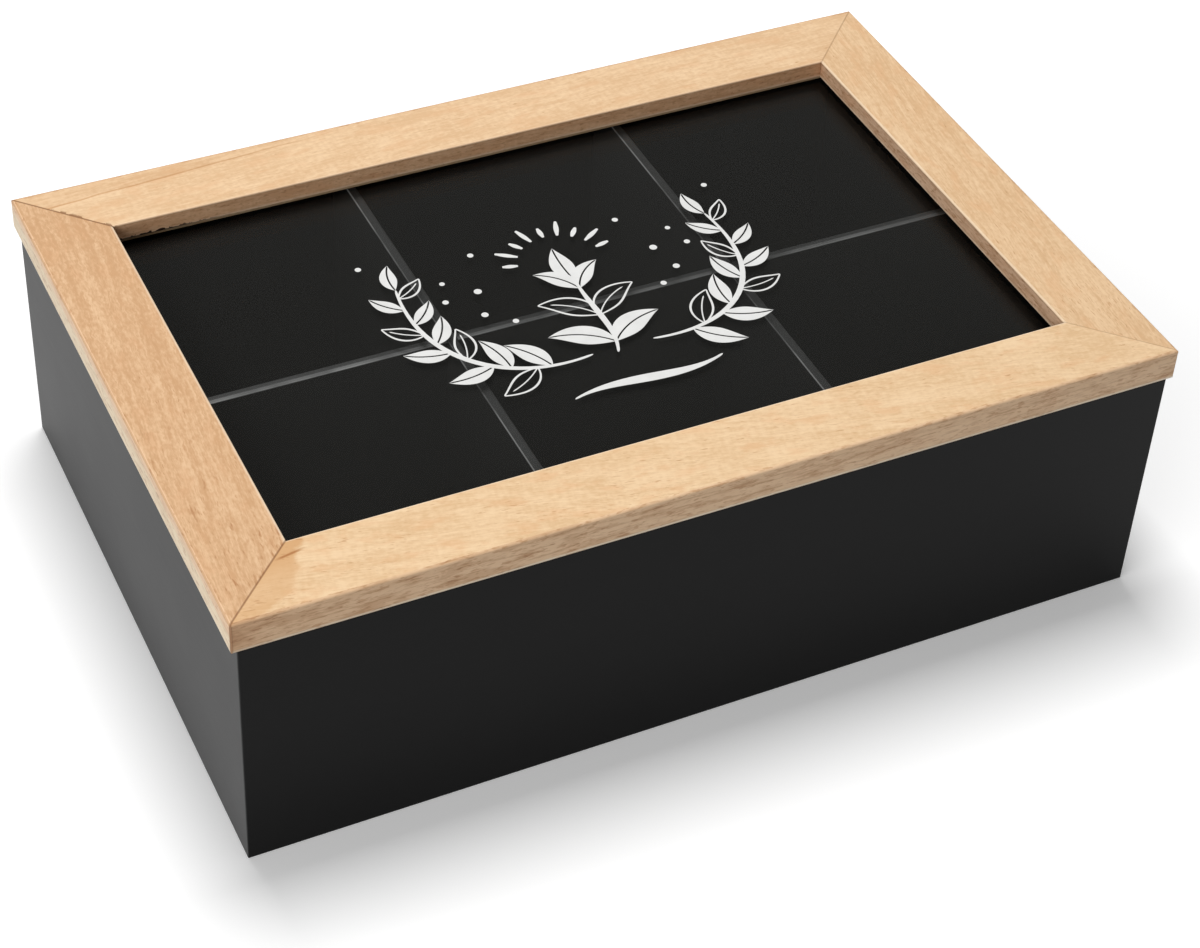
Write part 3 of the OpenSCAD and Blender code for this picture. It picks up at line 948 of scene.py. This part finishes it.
def beside(line, offsets):
    """The points of a line, each moved to the left of its way by its own offset."""
    last = len(line) - 1
    moved = []
    for i, (point, offset) in enumerate(zip(line, offsets)):
        way = line[min(i + 1, last)] - line[max(i - 1, 0)]
        moved.append(point + Vector((-way.y, way.x)).normalized() * offset)
    return moved


class Print:
    """Closed strips of ink on the glass, each a little thicker than the one before."""

    POINTED = 1e-4
    ROUND_END = 0.03
    DOT_STEPS = 10

    def __init__(self):
        self.mesh = bmesh.new()
        self.thickness = INK_THICKNESS

    def strip(self, left, right):
        """Ink between two lines of as many points. It is pointed where they meet."""
        low = GLASS_TOP + PRINT_LIFT
        rows = []
        for a, b in zip(left, right):
            pair = (a, b) if (a - b).length > self.POINTED else ((a + b) / 2,)
            rows.append([self.corners(pair, z) for z in (low, low + self.thickness)])
        for (low_a, top_a), (low_b, top_b) in zip(rows, rows[1:]):
            self.face(top_a[0], top_b[0], top_b[-1], top_a[-1])
            self.face(low_a[0], low_a[-1], low_b[-1], low_b[0])
            self.face(low_a[0], low_b[0], top_b[0], top_a[0])
            self.face(low_b[-1], low_a[-1], top_a[-1], top_b[-1])
        for low_row, top_row in (rows[0], rows[-1]):
            if len(low_row) == 2:
                self.face(low_row[0], top_row[0], top_row[1], low_row[1])
        self.thickness += INK_STEP

    def corners(self, points, z):
        return [self.mesh.verts.new((*((PRINT_MIDDLE + point) * MM), z * MM)) for point in points]

    def face(self, *corners):
        self.mesh.faces.new(dict.fromkeys(corners))

    def brush(self, line, thin, thick=None):
        """A stroke with round ends, thickest in its middle."""
        thick = thick or thin
        halves = []
        for share in shares(line):
            to_end = min(share, 1 - share) / self.ROUND_END
            rounding = math.sqrt(1 - (1 - to_end) ** 2) if to_end < 1 else 1.0
            halves.append((thin + (thick - thin) * math.sin(math.pi * share) ** 1.5) * rounding)
        self.strip(beside(line, halves), beside(line, [-half for half in halves]))

    def leaf(self, base, angle, length, filled, bend=0.12):
        """A pointed leaf at an angle: two filled halves with a bare midrib, or an outline with a midrib."""
        along = Vector((math.cos(angle), math.sin(angle))) * length
        aside = Vector((-along.y, along.x)) * bend
        rib = bezier(base, base + along / 3 + aside, base + along * 2 / 3 + aside, base + along)
        halves = [LEAF_SLIMNESS * length * math.sin(math.pi * share**0.85) for share in shares(rib)]
        for side in (1, -1):
            outer = beside(rib, [side * half for half in halves])
            if filled:
                self.strip(outer, beside(rib, [side * min(MIDRIB, half / 2) for half in halves]))
            else:
                self.brush(outer, 0.7 * LINE, LINE)
        if not filled:
            self.brush(rib[: len(rib) * 3 // 4], 0.6 * LINE)

    def dot(self, middle, radius):
        angles = [math.pi * step / self.DOT_STEPS for step in range(self.DOT_STEPS + 1)]
        upper = [middle + Vector((math.cos(angle), math.sin(angle))) * radius for angle in angles]
        lower = [middle + Vector((math.cos(angle), -math.sin(angle))) * radius for angle in angles]
        self.strip(upper, lower)

    def finish(self, name, material):
        bmesh.ops.recalc_face_normals(self.mesh, faces=self.mesh.faces)
        data = bpy.data.meshes.new(name)
        self.mesh.to_mesh(data)
        self.mesh.free()
        data.materials.append(material)
        piece = bpy.data.objects.new(name, data)
        bpy.context.scene.collection.objects.link(piece)
        return piece


def spray(ink, side):
    """A leafy branch that sweeps out and up from under the middle, to the right, 1, or the left, -1."""
    stem = bezier((8 * side, -20.5), (29 * side, -24), (48 * side, -10), (42.5 * side, 20), 40)
    ink.brush(stem, 1.2 * LINE, 2.6 * LINE)
    last = len(stem) - 1
    places = shares(stem)
    for number in range(SPRAY_LEAVES):
        place = SPRAY_FROM + SPRAY_RUN * number / (SPRAY_LEAVES - 1)
        i = min(range(last), key=lambda k: abs(places[k] - place))
        way = stem[i + 1] - stem[i]
        outwards = number % 2 == (0 if side > 0 else 1)
        turn = math.radians(SPRAY_TURN) * (-side if outwards else side)
        length = SPRAY_LEAF - SPRAY_TAPER * place
        ink.leaf(stem[i], math.atan2(way.y, way.x) + turn, length, number % 3 != 1, 0.12 * turn)
    way = stem[last] - stem[last - 2]
    ink.leaf(stem[last], math.atan2(way.y, way.x), SPRAY_TIP, True)


def sprig(ink):
    """Three pairs of leaves and a bud on an upright stem, with short rays over it."""
    stem = bezier((-2, -22), (2, -13), (-1, -5), (0, 7), 36)
    ink.brush(stem, 1.2 * LINE, 2.8 * LINE)
    for index, spread, length, filled in SPRIG_PAIRS:
        for side in (1, -1):
            ink.leaf(stem[index], math.radians(90 - side * spread), length, filled, side * 0.14)
    ink.leaf(stem[-1], math.radians(90), SPRIG_BUD, True, 0.05)
    crown = stem[-1] + Vector((0, 8))
    for step in range(RAYS):
        angle = math.radians(RAY_FROM + RAY_STEP * step)
        ray = Vector((math.cos(angle), math.sin(angle)))
        reach = RAY_REACH[step % 2]
        line = bezier(crown + ray * 11, crown + ray * 12, crown + ray * 13, crown + ray * reach, 12)
        ink.brush(line, 1.2 * LINE, 2.4 * LINE)


def print_on_glass():
    """Two sprays with their dots, the sprig between them and a flourish below, all riding on the lid."""
    ink = Print()
    for side in (1, -1):
        spray(ink, side)
        for x, y, radius in BERRIES:
            ink.dot(Vector((side * x, y)), radius)
    sprig(ink)
    ink.brush(bezier((-19, -34), (-6, -29.5), (8, -37.5), (21, -32)), LINE, 5.0 * LINE)
    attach(ink.finish("leaf_print", ink_material()), "lid")


make_camera()
make_world()
make_floor()
make_lamps()
dress_all()
print_on_glass()

bpy.context.scene.view_settings.view_transform = "Standard"
